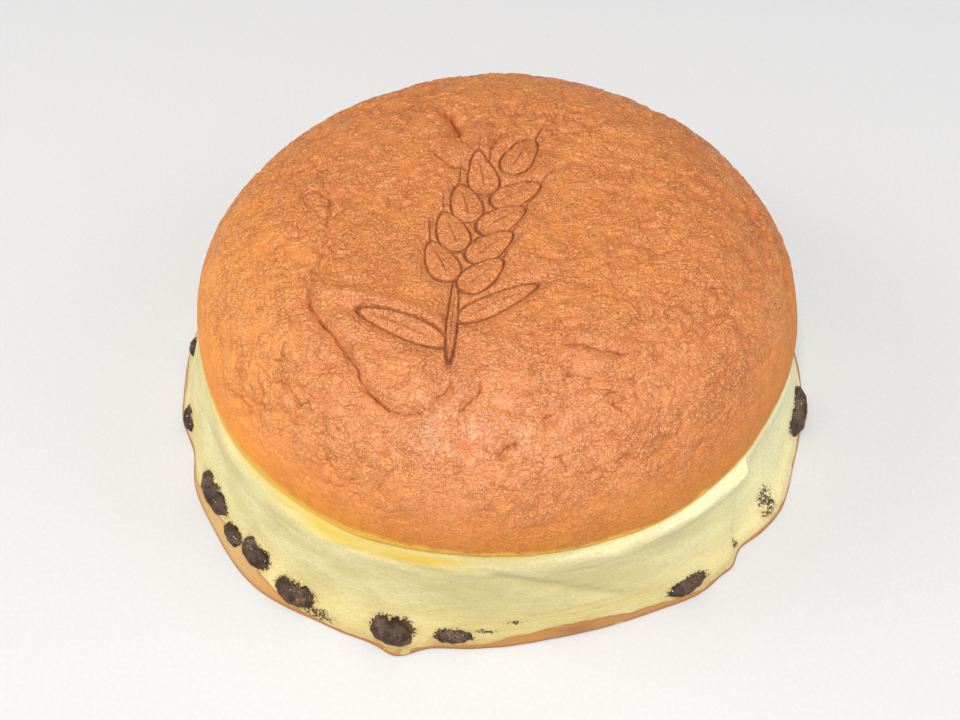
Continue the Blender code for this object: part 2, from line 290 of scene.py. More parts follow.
def swelling(azimuth, swells):
    """The sum of the swells at these azimuths, in metres."""
    return sum(height * MM * bump(azimuth, centre, half_width) for centre, height, half_width in swells)


def smooth(low, high, value):
    """0 below low, 1 above high, and an even curve between."""
    share = np.clip((value - low) / (high - low), 0, 1)
    return share * share * (3 - 2 * share)


def bell(value, half_width):
    return np.exp(-((value / half_width) ** 2))


def azimuths(points):
    """The way of each point from the axis, in degrees."""
    return np.degrees(np.arctan2(points[:, 1], points[:, 0]))


def off_axis(points):
    """Distance of each point from the axis."""
    return np.hypot(points[:, 0], points[:, 1])


def around(radius, azimuth, height):
    """Points at these distances from the axis, azimuths and heights."""
    angle = np.radians(azimuth)
    return np.stack([radius * np.cos(angle), radius * np.sin(angle), height], 1)


def sides(azimuth, centres):
    """1 on these sides of the cake, and 0 away from them."""
    return np.minimum(1, sum(bump(azimuth, *side) for side in centres))


def waves(points, spacing, seed=0.0):
    """Smooth noise from about -1 to 1 with this spacing, at an array of points."""
    shift = Vector((seed * 17.3, seed * 5.1, seed * 9.7))
    return np.array([noise.noise(Vector(point) + shift) for point in points / spacing])


def lip_radius(shape, azimuth):
    angle = np.radians(azimuth)
    leaning = shape.lean_x * np.cos(angle) + shape.lean_y * np.sin(angle)
    return shape.lip_radius + leaning + swelling(azimuth, LIP_SWELLS)


def overhang(shape, azimuth):
    return shape.overhang + shape.overhang_more * bump(azimuth, *OVERHANG_SIDE)


def side_radius(shape, azimuth, height):
    """Distance of the side from the axis: a cone, a soft roll under the lip and a flared foot."""
    share = height / shape.lip_height
    top = lip_radius(shape, azimuth) - overhang(shape, azimuth)
    middle = np.sin(np.pi * np.clip(share, 0, 1))
    wall = shape.wall_radius + (top - shape.wall_radius) * share
    wall = wall + swelling(azimuth, WALL_SWELLS) * middle
    roll = sum(bump(azimuth, *side) for side in ROLL_SIDES)
    wall = wall + shape.roll_proud * roll * bell(height - shape.roll_height, shape.roll_thickness)
    flare = shape.foot_radius + swelling(azimuth, FOOT_SWELLS) - shape.wall_radius
    reach = shape.foot_fade + (shape.skirt_fade - shape.foot_fade) * sides(azimuth, SKIRT_SIDES)
    return wall + flare * np.exp(-((np.clip(height, 0, None) / reach) ** shape.flare_power))


def dome_height(shape, share):
    """Height of the smooth dome at these shares of the lip's radius."""
    rise = (1 - np.clip(share, 0, 1) ** shape.shoulder_power) ** (1 / shape.crown_power)
    return shape.lip_height + (shape.crown_height - shape.lip_height) * rise


def dome_outline(shape, steps=2000):
    """The dome's outline from crown to lip: distance along it, share of the radius, and height."""
    angle = np.linspace(np.pi / 2, 0, steps)
    share = np.cos(angle) ** (2 / shape.shoulder_power)
    share[0] = 0.0
    height = dome_height(shape, share)
    run = np.hypot(np.diff(share) * shape.lip_radius, np.diff(height))
    return np.concatenate([[0], np.cumsum(run)]), share, height


def line_places(x, y, points):
    """Distance of each place from a bent line through these points, all in mm, and the share along it."""
    nearest = np.full(len(x), 1e9)
    share = np.zeros(len(x))
    spans = [math.dist(*ends) for ends in zip(points, points[1:])]
    done = 0.0
    for (ax, ay), (bx, by), span in zip(points, points[1:], spans):
        dx, dy = bx - ax, by - ay
        along = np.clip(((x - ax) * dx + (y - ay) * dy) / span**2, 0, 1)
        away = np.hypot(x - ax - along * dx, y - ay - along * dy)
        share = np.where(away < nearest, (done + along * span) / sum(spans), share)
        nearest = np.minimum(nearest, away)
        done += span
    return nearest, share


def notch(away, half_width):
    """A sharp V: 1 in its middle and 0 beyond its half width."""
    return np.clip(1 - np.abs(away) / half_width, 0, 1)


# ---------------------------------------------------------------- the pressed wheat ear

# Seen from above, in mm. Shares run along the ear's middle line, from its foot to its tip.
EAR_FOOT = Vector((-9.0, -47.0))
EAR_TIP = Vector((12.0, 27.0))
EAR_BOW = 6.0  # how far the middle line bows out
EAR_PAIRS = 4  # pairs of kernels
EAR_START, EAR_END = 0.38, 0.93  # shares between which the pairs stand
EAR_STAGGER = 0.035  # how much further up the left kernel of a pair stands
EAR_TOP_KERNEL = 0.97
EAR_KERNEL = (7.6, 4.1)  # half length and half width
EAR_SPREAD = 5.6  # how far each kernel stands off the middle line
EAR_ANGLE = math.radians(34)
EAR_LEAVES = ((0.16, -58, 24.0), (0.06, 62, 26.0))  # share, angle in degrees and length
EAR_LEAF_HALF_WIDTH = 3.2
EAR_STEM_HALF_WIDTH = 1.3
EAR_AWN = 9.0  # length of the bristles
EAR_SHOULDER = 1.9  # half width of the soft valley round a pressed outline


def ear_point(share):
    """A point on the ear's bowed middle line, and the line's direction there."""
    along = EAR_TIP - EAR_FOOT
    side = Vector((-along.y, along.x)).normalized()
    point = EAR_FOOT + along * share + side * EAR_BOW * 4 * share * (1 - share)
    direction = along + side * EAR_BOW * 4 * (1 - 2 * share)
    return point, direction.normalized()


def ear_seeds():
    """Every outline of the ear, from the back to the front: centre, direction, half length, half width."""
    seeds = []
    for share, angle, leaf in EAR_LEAVES:
        foot, along = ear_point(share)
        direction = Matrix.Rotation(math.radians(angle), 2) @ along
        seeds.append((foot + direction * (leaf / 2 + 1.0), direction, leaf / 2, EAR_LEAF_HALF_WIDTH))
    middle, along = ear_point(EAR_START / 2)
    half_stem = (EAR_TIP - EAR_FOOT).length * EAR_START / 2
    seeds.append((middle, along, half_stem, EAR_STEM_HALF_WIDTH))
    tip, along = ear_point(EAR_TOP_KERNEL)
    seeds.append((tip, along, *EAR_KERNEL))
    for pair in reversed(range(EAR_PAIRS)):
        share = EAR_START + (EAR_END - EAR_START) * pair / EAR_PAIRS
        for side in (1, -1):
            middle, along = ear_point(share + EAR_STAGGER * (side + 1) / 2)
            across = Vector((-along.y, along.x)) * side
            direction = along * math.cos(EAR_ANGLE) + across * math.sin(EAR_ANGLE)
            seeds.append((middle + across * EAR_SPREAD, direction, *EAR_KERNEL))
    return seeds


def ear_awns():
    """The thin bristles of the ear's kernels: both ends of each."""
    awns = []
    along = ear_point(0.6)[1]
    for centre, direction, half_length, _ in ear_seeds()[len(EAR_LEAVES) + 1 :]:
        start = centre + direction * half_length
        awns.append((start, start + (direction + along).normalized() * EAR_AWN))
    return awns


def ear_relief(x, y, line):
    """For each place: how deep it lies in a pressed line, how far it is pressed in, from 0 to 1, and how
    far it lies outside the ear."""
    core = np.zeros(len(x))
    sunk = np.zeros(len(x))
    outside = np.full(len(x), 1e9)
    for start, end in ear_awns():
        away, share = line_places(x, y, (start, end))
        shown = 0.8 * smooth(1.0, 0.5, share)
        core = np.maximum(core, shown * notch(away, line))
        sunk = np.maximum(sunk, 0.4 * shown * bell(away, EAR_SHOULDER))
    for centre, direction, half_length, half_width in ear_seeds():
        dx, dy = x - centre.x, y - centre.y
        along = dx * direction.x + dy * direction.y
        across = dy * direction.x - dx * direction.y
        taper = half_width * (1 - 0.30 * along / half_length)
        reach = np.hypot(along / half_length, across / np.maximum(taper, 0.3))
        away = (reach - 1) * half_width
        inside = away < 0
        vein = smooth(0.75, 0.35, np.abs(along) / half_length)
        core = np.where(inside, 0.55 * vein * notch(across, line), core)
        core = np.maximum(core, notch(away, line))
        puffed = 1 - 0.35 * smooth(-0.5, -half_width, away)
        sunk = np.where(inside, puffed, np.maximum(sunk, bell(away, EAR_SHOULDER)))
        outside = np.minimum(outside, away)
    return core, sunk, outside


# ---------------------------------------------------------------- making pieces


def finish_piece(name, shape, material, nodes=(), attributes=None):
    """Turns a bmesh into a piece on the cake's one body, material and attributes."""
    bmesh.ops.recalc_face_normals(shape, faces=shape.faces)
    mesh = bpy.data.meshes.new(name)
    shape.to_mesh(mesh)
    shape.free()
    mesh.shade_smooth()
    mesh.materials.append(material)
    for title, values in (attributes or {}).items():
        layer = mesh.attributes.new(title, "FLOAT", "POINT")
        layer.data.foreach_set("value", np.asarray(values, np.float32))
    piece = bpy.data.objects.new(name, mesh)
    bpy.context.scene.collection.objects.link(piece)
    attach(piece, "root")
    if nodes:
        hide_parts(*nodes)
    return piece


def places(shape):
    """All vertices of a bmesh as one array."""
    return np.array([corner.co for corner in shape.verts])


def move_to(shape, points):
    for corner, point in zip(shape.verts, points):
        corner.co = point
    shape.normal_update()


def turned(outline, steps):
    """An outline of distances and heights, spun a full turn about Z with its seam and poles closed."""
    shape = bmesh.new()
    corners = [shape.verts.new((distance, 0, height)) for distance, height in outline]
    edges = [shape.edges.new(pair) for pair in zip(corners, corners[1:])]
    bmesh.ops.spin(
        shape, geom=corners + edges, axis=(0, 0, 1), cent=(0, 0, 0),
        angle=math.tau, steps=steps, use_merge=True,
    )
    bmesh.ops.remove_doubles(shape, verts=shape.verts, dist=1e-6)
    bmesh.ops.recalc_face_normals(shape, faces=shape.faces)
    return shape


def raisin_balls():
    """Centre and half sizes of each raisin of the frame: across the wall, along it and upright."""
    balls = []
    for name in RAISIN_NODES:
        corners = np.array([corner.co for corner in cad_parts[name].data.vertices])
        centre = (corners.min(0) + corners.max(0)) / 2
        azimuth = math.atan2(centre[1], centre[0])
        out = np.array([math.cos(azimuth), math.sin(azimuth), 0])
        round_way = np.array([-math.sin(azimuth), math.cos(azimuth), 0])
        spans = [np.ptp(corners @ way) / 2 for way in (out, round_way, np.array([0, 0, 1]))]
        balls.append((centre, out, round_way, spans))
    return balls


def near_raisins(points):
    """For each point and its nearest raisin: the distance in raisin sizes, below 1 inside its outline,
    the height above its middle in half heights, and how far out its skin lies there."""
    nearest = np.full(len(points), 9.0)
    upward = np.zeros(len(points))
    skin = np.zeros(len(points))
    for centre, out, round_way, (depth, half_length, half_height) in raisin_balls():
        away = points - centre
        rise = away[:, 2] / half_height
        sizes = (away @ round_way / half_length) ** 2 + rise**2
        own = np.sqrt(sizes + 0.25 * (away @ out / depth) ** 2)
        closer = own < nearest
        nearest = np.where(closer, own, nearest)
        upward = np.where(closer, rise, upward)
        reach = math.hypot(centre[0], centre[1]) + depth * np.sqrt(np.clip(1 - sizes, 0, 1))
        skin = np.where(closer, reach, skin)
    return nearest, upward, skin


# ---------------------------------------------------------------- materials


class Wire:
    """One output of a shader node. Sums of wires and numbers add the Math nodes they need."""

    def __init__(self, finish, socket):
        self.finish = finish
        self.socket = socket

    def math(self, operation, first, second):
        return self.finish.node("ShaderNodeMath", {"operation": operation}, {0: first, 1: second})

    def __add__(self, other):
        return self.math("ADD", self, other)

    def __sub__(self, other):
        return self.math("SUBTRACT", self, other)

    def __mul__(self, other):
        return self.math("MULTIPLY", self, other)

    def __rsub__(self, other):
        return self.math("SUBTRACT", other, self)

    __radd__ = __add__
    __rmul__ = __mul__


class Finish:
    """A material in the making."""

    def __init__(self, name):
        self.material = bpy.data.materials.new(name)
        self.material.use_nodes = True
        self.tree = self.material.node_tree
        self.shader = self.tree.nodes["Principled BSDF"]
        self.place = self.node("ShaderNodeTexCoord", {}, {}, "Object")

    def node(self, kind, settings, sockets, output=0):
        """Adds a node with its settings, then the values or wires of its sockets, and gives one output."""
        made = self.tree.nodes.new(kind)
        for title, value in settings.items():
            setattr(made, title, value)
        for title, value in sockets.items():
            self.feed(made.inputs[title], value)
        return Wire(self, made.outputs[output])

    def feed(self, socket, value):
        if isinstance(value, Wire):
            self.tree.links.new(value.socket, socket)
        elif socket.type == "RGBA":
            socket.default_value = (*value, 1)
        else:
            socket.default_value = value

    def attributes(self, *titles):
        return [self.node("ShaderNodeAttribute", {"attribute_name": title}, {}, "Fac") for title in titles]

    def grain(self, per_metre, detail=2.0, roughness=0.5, place=None):
        """Noise around 0.5 with this many features to the metre."""
        sockets = {"Vector": place or self.place, "Scale": per_metre, "Detail": detail}
        return self.node("ShaderNodeTexNoise", {}, {**sockets, "Roughness": roughness}, "Fac")

    def cells(self, per_metre, place):
        """How far each place lies from the seams between rounded cells, in cell sizes."""
        sockets = {"Vector": place, "Scale": per_metre}
        return self.node("ShaderNodeTexVoronoi", {"feature": "DISTANCE_TO_EDGE"}, sockets, "Distance")

    def warped(self, per_metre, reach):
        """The object's own coordinates, pushed about by noise as far as reach in metres."""
        sockets = {"Vector": self.place, "Scale": per_metre, "Detail": 2.0}
        push = self.node("ShaderNodeTexNoise", {}, sockets, "Color")
        away = self.node("ShaderNodeVectorMath", {"operation": "SUBTRACT"}, {0: push, 1: (0.5, 0.5, 0.5)})
        away = self.node("ShaderNodeVectorMath", {"operation": "SCALE"}, {0: away, "Scale": reach})
        return self.node("ShaderNodeVectorMath", {"operation": "ADD"}, {0: self.place, 1: away})

    def larger(self, first, second):
        return self.node("ShaderNodeMath", {"operation": "MAXIMUM"}, {0: first, 1: second})

    def squiggles(self, per_metre, half_width, place):
        """Thin wandering lines: 1 where noise crosses its middle value, and 0 away from there."""
        value = self.grain(per_metre, 1.0, 0.5, place) - 0.5
        away = self.node("ShaderNodeMath", {"operation": "ABSOLUTE"}, {0: value})
        return self.step(away, half_width, 0.3 * half_width)

    def stretched(self, scale):
        return self.node("ShaderNodeMapping", {}, {"Vector": self.place, "Scale": scale})

    def step(self, wire, low, high):
        """0 below low and 1 above high, with a smooth curve between."""
        sockets = {"Value": wire, "From Min": low, "From Max": high}
        return self.node("ShaderNodeMapRange", {"interpolation_type": "SMOOTHSTEP"}, sockets)

    def painted(self, base, *coats):
        """A base colour with coats over it, each with the share that shows, from 0 to 1, and its colour."""
        for share, shade in coats:
            base = self.node("ShaderNodeMix", {"data_type": "RGBA"}, {0: share, 6: base, 7: shade}, 2)
        return base

    def set(self, **values):
        """Constants and wires of the shader's own sockets."""
        for title, value in values.items():
            self.feed(self.shader.inputs[title.replace("_", " ")], value)

    def bumps(self, height, strength, distance):
        sockets = {"Height": height, "Strength": strength, "Distance": distance}
        self.set(Normal=self.node("ShaderNodeBump", {}, sockets))


def crust_material(look):
    finish = Finish("browned crust")
    baked, crown, amber, sheen, hollow = finish.attributes("baked", "crown", "amber", "sheen", "hollow")
    pressed, cracks, creased, grainy = finish.attributes("pressed", "crack", "creased", "grainy")
    warped = finish.warped(900, 0.0006)
    wide = finish.squiggles(620, 0.022, warped)
    fine = finish.squiggles(1500, 0.036, warped)
    lines = finish.larger(wide, fine * 0.8)
    blotch = finish.grain(60, 3)
    pebble = finish.grain(700, 3, 0.6)
    away = finish.cells(540, finish.warped(460, 0.0019))
    cobble = finish.step(away, 0.0, 0.34)
    seams = (1 - finish.step(away, 0.025, 0.11)) * finish.step(finish.grain(240, 3, 0.6), 0.44, 0.60)
    grain = finish.grain(3200, 2, 0.7)
    pits = 1 - finish.step(finish.grain(3600, 2, 0.6), 0.36, 0.47)
    patch = finish.step(finish.grain(170, 3, 0.6), 0.36, 0.62)
    plain = (1 - hollow * 0.8) * grainy * (0.70 + 0.30 * patch)
    # Thin dark lines at the floors of the folds: darker skin and painted shade
    for title, half_width, share in (("fold_wide", 0.035, 0.50), ("fold", 0.055, 0.42)):
        (fold,) = finish.attributes(title)
        line = finish.step(finish.larger(fold, -1 * fold), half_width, 0.2 * half_width)
        cracks = finish.larger(cracks, line * creased * share)
    browned = finish.painted(
        look.rim,
        (crown, look.brown),
        (pressed * 0.7, look.rosy),
        (amber, look.amber),
        # painted sheen on the front of the crown
        (sheen * 0.32, look.painted_sheen),
        (finish.step(blotch, 0.42, 0.72) * 0.16, look.valley),
        # hollows: their smooth orange skin, made darker as painted shade
        (hollow * 0.85, look.valley),
        # painted glints on the tips of the grain
        (finish.step(grain, 0.49, 0.60) * plain * 0.85, look.painted_glint),
        (pits * plain * 0.72, look.toasted),
        (lines * plain * finish.step(blotch, 0.30, 0.60) * 0.62, look.toasted),
        (seams * plain * 0.80, look.valley),
        # darker browned skin and painted shade at the bottom of cracks, creases and pressed outlines
        (cracks * 0.95, look.crack),
    )
    baked = finish.step(baked + (finish.grain(1100, 3, 0.65) - 0.5) * 0.9, 0.15, 0.85)
    base = finish.painted(look.gold, (baked, browned))
    finish.set(Base_Color=base, Roughness=0.34 + 0.30 * hollow + cracks * 0.25 + 0.44 * (1 - crown))
    finish.set(Specular_IOR_Level=0.65, Coat_Weight=sheen * (0.24 - 0.2 * hollow), Coat_Roughness=0.34)
    finish.set(Subsurface_Weight=0.03, Subsurface_Radius=(1.0, 0.45, 0.2), Subsurface_Scale=0.0012)
    relief = pebble * plain * 0.6 + cobble * plain * 0.4 - lines * plain * 0.2
    finish.bumps(relief + grain * plain * 0.28 - cracks * 0.35, 1.0, 0.0007)
    return finish.material


def side_material(look):
    finish = Finish("pale side")
    yolk, torn, stain, hollow = finish.attributes("yolk", "torn", "stain", "hollow")
    cool, porous = finish.attributes("cool", "porous")
    smear = finish.stretched((1.0, 1.0, 3.2))
    cloud = finish.grain(60, 3, 0.5, smear)
    pores = finish.grain(1300, 3, 0.7, smear)
    fine = finish.grain(2200, 2, 0.7, smear)
    streak = finish.grain(260, 4, 0.65, smear)
    shreds = finish.step(finish.grain(1500, 3, 0.7) + torn * 0.26, 0.64, 0.72)
    base = finish.painted(
        look.pale,
        (finish.step(cloud, 0.35, 0.7), look.cream),
        # painted light on the right of the side and along the roll
        (cool * 0.80, look.cool),
        # painted shade on the front of the side below the lip
        (porous * 0.42, look.pore_and_shade),
        (finish.step(pores, 0.48, 0.68) * 0.50, look.pore_and_shade),
        (finish.step(fine, 0.50, 0.66) * 0.30, look.pore_and_shade),
        (finish.step(streak, 0.55, 0.8) * 0.25, look.pore_and_shade),
        # painted shade in the crease, under the fold and in the fine lines
        (hollow * 0.55, look.pore_and_shade),
        (yolk, look.yolk),
        (stain, look.tan),
        (shreds * finish.step(torn, 0.05, 0.3) * 0.95, look.speck),
    )
    finish.set(Base_Color=base, Roughness=0.55 + 0.2 * pores, Specular_IOR_Level=0.3)
    finish.set(Subsurface_Weight=0.15, Subsurface_Radius=(1.0, 0.75, 0.35), Subsurface_Scale=0.004)
    finish.bumps(pores * 0.7 + streak, 0.6, 0.0005)
    return finish.material


def skin_material(look):
    finish = Finish("foot skin")
    edge, under, hollow, thin = finish.attributes("edge", "under", "hollow", "thin")
    cloud = finish.grain(90, 3)
    fine = finish.grain(900, 2)
    base = finish.painted(
        look.tan,
        (finish.step(cloud, 0.4, 0.7) * 0.75, look.under),
        (thin, look.thin),
        (under, look.under),
        (hollow * 0.6, look.toast),
        (edge, look.toast),
        (finish.step(fine, 0.55, 0.8) * 0.2, look.toast),
    )
    finish.set(Base_Color=base, Roughness=0.42 + 0.2 * fine, Specular_IOR_Level=0.4)
    finish.set(Subsurface_Weight=0.08, Subsurface_Radius=(1.0, 0.6, 0.3), Subsurface_Scale=0.002)
    finish.bumps(fine * 0.6 + cloud, 0.3, 0.0004)
    return finish.material


def raisin_material(look):
    finish = Finish("raisin skin")
    ridge, dusty = finish.attributes("ridge", "dusty")
    blotch = finish.grain(420, 3, 0.6)
    speck = finish.grain(2600, 2, 0.6)
    base = finish.painted(
        look.dark,
        (finish.step(blotch, 0.4, 0.7), look.plum),
        (ridge * 0.4, look.plum),
        (finish.step(speck + dusty * 0.3, 0.70, 0.90) * 0.35, look.bloom),
    )
    finish.set(Base_Color=base, Roughness=0.45 + 0.25 * blotch, Specular_IOR_Level=0.3)
    finish.bumps(blotch + speck * 0.4, 0.5, 0.0004)
    return finish.material


def crumb_material(look):
    finish = Finish("crumb")
    fine = finish.grain(1800, 2)
    base = finish.painted(look.pale, (finish.step(fine, 0.4, 0.7), look.cream))
    finish.set(Base_Color=base, Roughness=0.7, Subsurface_Weight=0.15, Subsurface_Scale=0.002)
    finish.bumps(fine, 0.5, 0.0003)
    return finish.material


def table_material(look):
    finish = Finish("pale table")
    fine = finish.grain(900, 2)
    base = finish.painted(look.table, (finish.step(fine, 0.4, 0.8) * 0.06, (1.0, 1.0, 1.0)))
    finish.set(Base_Color=base, Roughness=0.6, Specular_IOR_Level=0.3)
    finish.bumps(fine, 0.12, 0.0004)
    return finish.material


# ---------------------------------------------------------------- operators


class CHEESECAKE_OT_crust(bpy.types.Operator):
    """Make the domed, wrinkled and browned crust with the pressed wheat ear"""

    bl_idname = "cheesecake.crust"
    bl_label = "Crust"

    TUCK = 1.2 * MM  # how far the crust goes on below the lip, turned in behind it
    MIDDLE_SHARE = 0.86  # spacing of the grid at the crown, as a share of its mean
    FINE_BAND = 1.1  # the grid is cut finer this many mm each side of a pressed line or crease
    FINE_CUTS = 2
    SUNK = 0.30 * MM  # the whole relief lies this far inside the smooth form
    CROWN_SUNK = 0.9 * MM  # how much deeper it lies at the crown, to leave its ridges room
    CAP = 0.4 * MM  # the relief flattens out over this height below the CAD model's top
    # Folds: name of the mark that keeps them, spacing in mm, depth as a share of the crumple, seed
    FOLDS = (("fold_wide", 8.0, 0.60, 5), ("fold", 4.2, 0.62, 6), (None, 2.3, 0.42, 7))
    RING = 60 * MM  # folds of the shoulder run round the cake as on a ring of this radius
    # Sides of the crust: azimuth and half width in degrees
    SMOOTHER_SIDE = (215, 60)
    LOW_FOLDS_SIDE = (262, 50)
    SOFT_EDGE_SIDE = (208, 46)
    AMBER_SIDE = (200, 48)
    PLAIN_RIM_SIDE = (285, 60)
    SHEEN_SIDE = (256, 54)

    def execute(self, context):
        scene = context.scene
        cake, look = scene.cheesecake_shape, scene.cheesecake_crust
        runs, shares, heights = dome_outline(cake)
        whole = runs[-1]
        shape = self.unrolled(look, whole + self.TUCK)
        self.refine(cake, shape)
        flat = places(shape)
        run = off_axis(flat)
        azimuth = azimuths(flat)
        angle = np.radians(azimuth)
        below = np.clip(run - whole, 0, None)
        run = np.minimum(run, whole)
        slope = np.arctan2(-np.gradient(heights, runs), np.gradient(shares * cake.lip_radius, runs))
        tilt = np.interp(run, runs, slope)
        turn_in = below / self.TUCK
        radius = np.interp(run, runs, shares) * (cake.lip_radius + swelling(azimuth, LIP_SWELLS))
        radius = radius - (0.3 * MM + overhang(cake, azimuth)) * turn_in**2
        height = np.interp(run, runs, heights) - below * 0.8
        x = radius * np.cos(angle) + cake.lean_x
        y = radius * np.sin(angle) + cake.lean_y
        relief, marks = self.relief(look, np.stack([x, y, height], 1), run, azimuth, whole)
        relief = relief * (1 - turn_in)
        fade = np.clip(1 - (np.hypot(x, y) / cake.lip_radius) ** 4, 0, None)
        broad = self.broad(cake, x, y) * fade
        out = relief * np.sin(tilt)
        x, y = x + out * np.cos(angle), y + out * np.sin(angle)
        height = height + relief * np.cos(tilt) + broad
        over = np.clip(height - CAD_BOX[1][2] + self.CAP, 0, None)
        height = height - over + self.CAP * (1 - np.exp(-over / self.CAP))
        surface = np.stack([x, y, height], 1)
        move_to(shape, surface)
        attributes = self.shades(surface, azimuth, run, whole, marks)
        finish_piece("crust", shape, crust_material(look), ("cake",), attributes)
        return {"FINISHED"}

    def unrolled(self, look, whole):
        """A round sheet of even faces, as wide as the dome is along its surface."""
        shape = bmesh.new()
        bmesh.ops.create_grid(shape, x_segments=look.cells, y_segments=look.cells, size=1.0)
        grid = places(shape)
        u, v = grid[:, 0], grid[:, 1]
        disc = np.stack([u * np.sqrt(1 - v * v / 2), v * np.sqrt(1 - u * u / 2), 0 * u], 1)
        spacing = self.MIDDLE_SHARE + (1 - self.MIDDLE_SHARE) * off_axis(disc) ** 2
        move_to(shape, disc * (whole * spacing)[:, None])
        return shape

    def refine(self, cake, shape):
        """Cuts the sheet finer along the ear's outlines and the creases."""
        flat = places(shape)
        runs, shares, _ = dome_outline(cake)
        run = off_axis(flat)
        shrink = np.interp(run, runs, shares) * cake.lip_radius / np.maximum(run, 1e-9) / MM
        mx = flat[:, 0] * shrink + cake.lean_x / MM
        my = flat[:, 1] * shrink + cake.lean_y / MM
        groove, _, _ = ear_relief(mx, my, self.FINE_BAND)
        for points, _ in CRUST_CREASES:
            groove = np.maximum(groove, notch(line_places(mx, my, points)[0], self.FINE_BAND))
        shape.verts.ensure_lookup_table()
        shape.verts.index_update()
        near = groove > 0
        edges = [edge for edge in shape.edges if all(near[corner.index] for corner in edge.verts)]
        bmesh.ops.subdivide_edges(shape, edges=edges, cuts=self.FINE_CUTS, use_grid_fill=True)

    def broad(self, cake, x, y):
        """The broad waves and the dimple that the CAD model has too."""
        spots = np.stack([x, y, np.full(len(x), 0.4 * cake.undulation_spacing)], 1)
        dimple = bell(np.hypot(x - DIMPLE_PLACE[0] * MM, y - DIMPLE_PLACE[1] * MM), cake.dimple_radius)
        return waves(spots, cake.undulation_spacing) * cake.undulation - dimple * cake.dimple_depth

    def relief(self, look, flat, run, azimuth, whole):
        """Folds, creases, ridges, dents and the pressed ear as a height along the surface's normal, and
        the marks they leave in the colours."""
        mx, my = flat[:, 0] / MM, flat[:, 1] / MM
        ringed = around(self.RING, azimuth, run * 1.5)
        rings = smooth(26 * MM, 48 * MM, run)[:, None]
        warp = np.stack([waves(flat, 6 * MM, seed) for seed in (1, 2, 3)], 1) * 1.8 * MM
        warp = warp + np.stack([waves(flat, 2.2 * MM, seed) for seed in (14, 15, 16)], 1) * 0.6 * MM
        along = flat * (1 - rings) + ringed * rings + warp
        core, sunk, outside = ear_relief(mx, my, look.ear_line / MM)
        plate = smooth(7.0, 0.5, outside)
        rough = 0.85 + 0.6 * waves(flat, 26 * MM, 4) - 0.15 * bump(azimuth, *self.SMOOTHER_SIDE)
        fade_from = (22 - 9 * bump(azimuth, *self.LOW_FOLDS_SIDE)) * MM
        rough = np.clip(rough, 0.35, 1.3) * (1 - 0.8 * plate) * smooth(3 * MM, fade_from, whole - run)
        relief, hollow, crack, creased = np.zeros((4, len(run)))
        marks = {}
        for name, spacing, depth, seed in self.FOLDS:
            fold = waves(along, spacing * MM, seed)
            valley = 1 - np.clip(np.abs(fold) / 0.40, 0, 1)
            shown = 0.25 + 0.75 * smooth(-0.25, 0.3, waves(flat, spacing * 1.3 * MM, seed + 20))
            relief -= look.crumple * depth * rough * shown * valley**1.4
            # The hollow mark: smooth matte skin in the fold valleys, also painted darker there as shade
            hollow += rough * depth * 0.7 * shown * valley**2
            torn = smooth(0.05, 0.5, waves(flat, 4 * MM, seed + 30)) * np.clip(2 * rough - 1, 0, 1)
            creased = np.maximum(creased, torn)
            if name:
                marks[name] = fold
        relief += 0.16 * MM * rough * waves(flat, 9 * MM, 9)
        wander = 1.1 * waves(flat, 5 * MM, 8) + 0.45 * waves(flat, 2 * MM, 10)
        broken = np.clip(0.8 + 0.7 * waves(flat, 3 * MM, 13), 0.15, 1)
        for points, depth in CRUST_CREASES:
            away, share = line_places(mx + wander, my - wander, points)
            shown = depth * smooth(0, 0.2, share) * smooth(1, 0.8, share)
            bottom = notch(away, CREASE_CORE)
            valley = bell(away, CREASE_VALLEY)
            lifted = bell(away - CREASE_LIP, CREASE_LIP_WIDTH)
            relief += shown * MM * (0.35 * lifted - 0.4 * bottom - 0.7 * valley)
            # the crease's soft valley joins the hollow mark, with its painted shade
            hollow = np.maximum(hollow, 0.6 * valley**2 * shown)
            # The crack mark: darker skin and painted shade at the bottom of the crease
            crack = np.maximum(crack, bottom * np.minimum(1, 1.1 * shown) * broken)
        for points, rise, half_width in CRUST_RIDGES:
            relief += rise * MM * bell(line_places(mx, my, points)[0], half_width)
        for start, end, half_width in CRUST_DENTS:
            away, _ = line_places(mx + 0.6 * wander, my - 0.6 * wander, (start, end))
            relief -= 0.6 * MM * bell(away, half_width)
            hollow = np.maximum(hollow, 0.6 * smooth(half_width, 0.6 * half_width, away))
        relief += 0.35 * MM * plate - look.ear_depth * (0.35 * core + 0.65 * sunk)
        relief -= self.SUNK + self.CROWN_SUNK * smooth(64 * MM, 24 * MM, run)
        hollow = np.clip(np.maximum(hollow, 0.4 * core), 0, 1)
        # The pressed outlines join the crack mark: darker skin and painted shade in their grooves
        crack = np.clip(np.maximum(crack, core * (0.55 + 0.45 * broken)), 0, 1)
        return relief, {**marks, "creased": creased, "hollow": hollow, "crack": crack, "pressed": plate}

    def shades(self, surface, azimuth, run, whole, marks):
        """Where the crust is browned, golden, hollow or pressed, and where a painted sheen lightens its
        front, from 0 to 1.
        """
        ragged = 1.2 * MM * waves(surface, 4 * MM, 11)
        soft = (1.6 + 4.4 * bump(azimuth, *self.SOFT_EDGE_SIDE)) * MM
        baked = smooth(0, 1, (whole - run + ragged) / soft)
        amber = bump(azimuth, *self.AMBER_SIDE) * smooth(38 * MM, 86 * MM, run)
        amber = amber * np.clip(0.9 + 0.4 * waves(surface, 24 * MM, 12), 0, 1)
        crown = smooth(whole - 4 * MM, whole - 34 * MM, run)
        least = 0.2 + 0.35 * bump(azimuth, *self.PLAIN_RIM_SIDE)
        grainy = least + (1 - least) * smooth(whole - 4 * MM, whole - 26 * MM, run)
